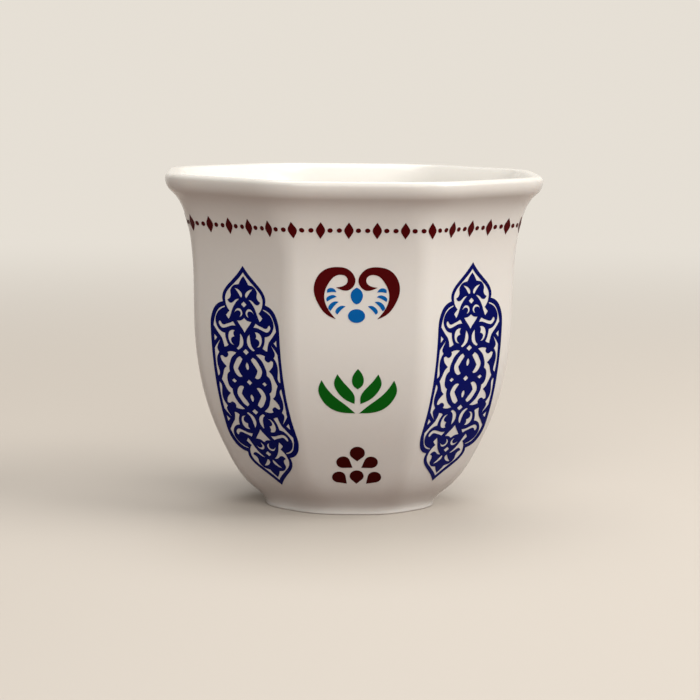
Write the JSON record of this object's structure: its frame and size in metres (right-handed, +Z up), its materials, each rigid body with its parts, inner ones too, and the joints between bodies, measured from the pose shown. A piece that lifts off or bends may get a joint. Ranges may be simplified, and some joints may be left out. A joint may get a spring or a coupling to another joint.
{
  "type": "arabic coffee cup",
  "caption": "Handleless octagonal porcelain coffee cup with a flared lip, a lozenge border and printed arabesque, horn, leaf and petal motifs, for serving Arabic coffee.",
  "frame": {"origin": "centre of the foot ring, on the surface that the cup stands on", "axes": "+Z up along the axis of the cup; the facet with the horn, leaf and petal motifs faces -Y"},
  "size_m": [0.0782, 0.0782, 0.07],
  "materials": {
    "porcelain": "gloss",
    "burgundy_enamel": "gloss",
    "cobalt_enamel": "gloss",
    "light_blue_enamel": "gloss",
    "green_enamel": "gloss",
    "dark_red_enamel": "gloss"
  },
  "bodies": {
    "root": {"porcelain_cup": "porcelain", "rim_border_1": "burgundy_enamel", "rim_border_2": "burgundy_enamel", "rim_border_3": "burgundy_enamel", "rim_border_4": "burgundy_enamel", "rim_border_5": "burgundy_enamel", "rim_border_6": "burgundy_enamel", "rim_border_7": "burgundy_enamel", "rim_border_8": "burgundy_enamel", "medallion_1": "cobalt_enamel", "medallion_2": "cobalt_enamel", "medallion_3": "cobalt_enamel", "medallion_4": "cobalt_enamel", "horn_scrolls_1": "burgundy_enamel", "horn_scrolls_2": "burgundy_enamel", "horn_scrolls_3": "burgundy_enamel", "horn_scrolls_4": "burgundy_enamel", "horn_drops_1": "light_blue_enamel", "horn_drops_2": "light_blue_enamel", "horn_drops_3": "light_blue_enamel", "horn_drops_4": "light_blue_enamel", "leaf_fan_1": "green_enamel", "leaf_fan_2": "green_enamel", "leaf_fan_3": "green_enamel", "leaf_fan_4": "green_enamel", "petal_cluster_1": "dark_red_enamel", "petal_cluster_2": "dark_red_enamel", "petal_cluster_3": "dark_red_enamel", "petal_cluster_4": "dark_red_enamel"}
  },
  "joints": []
}
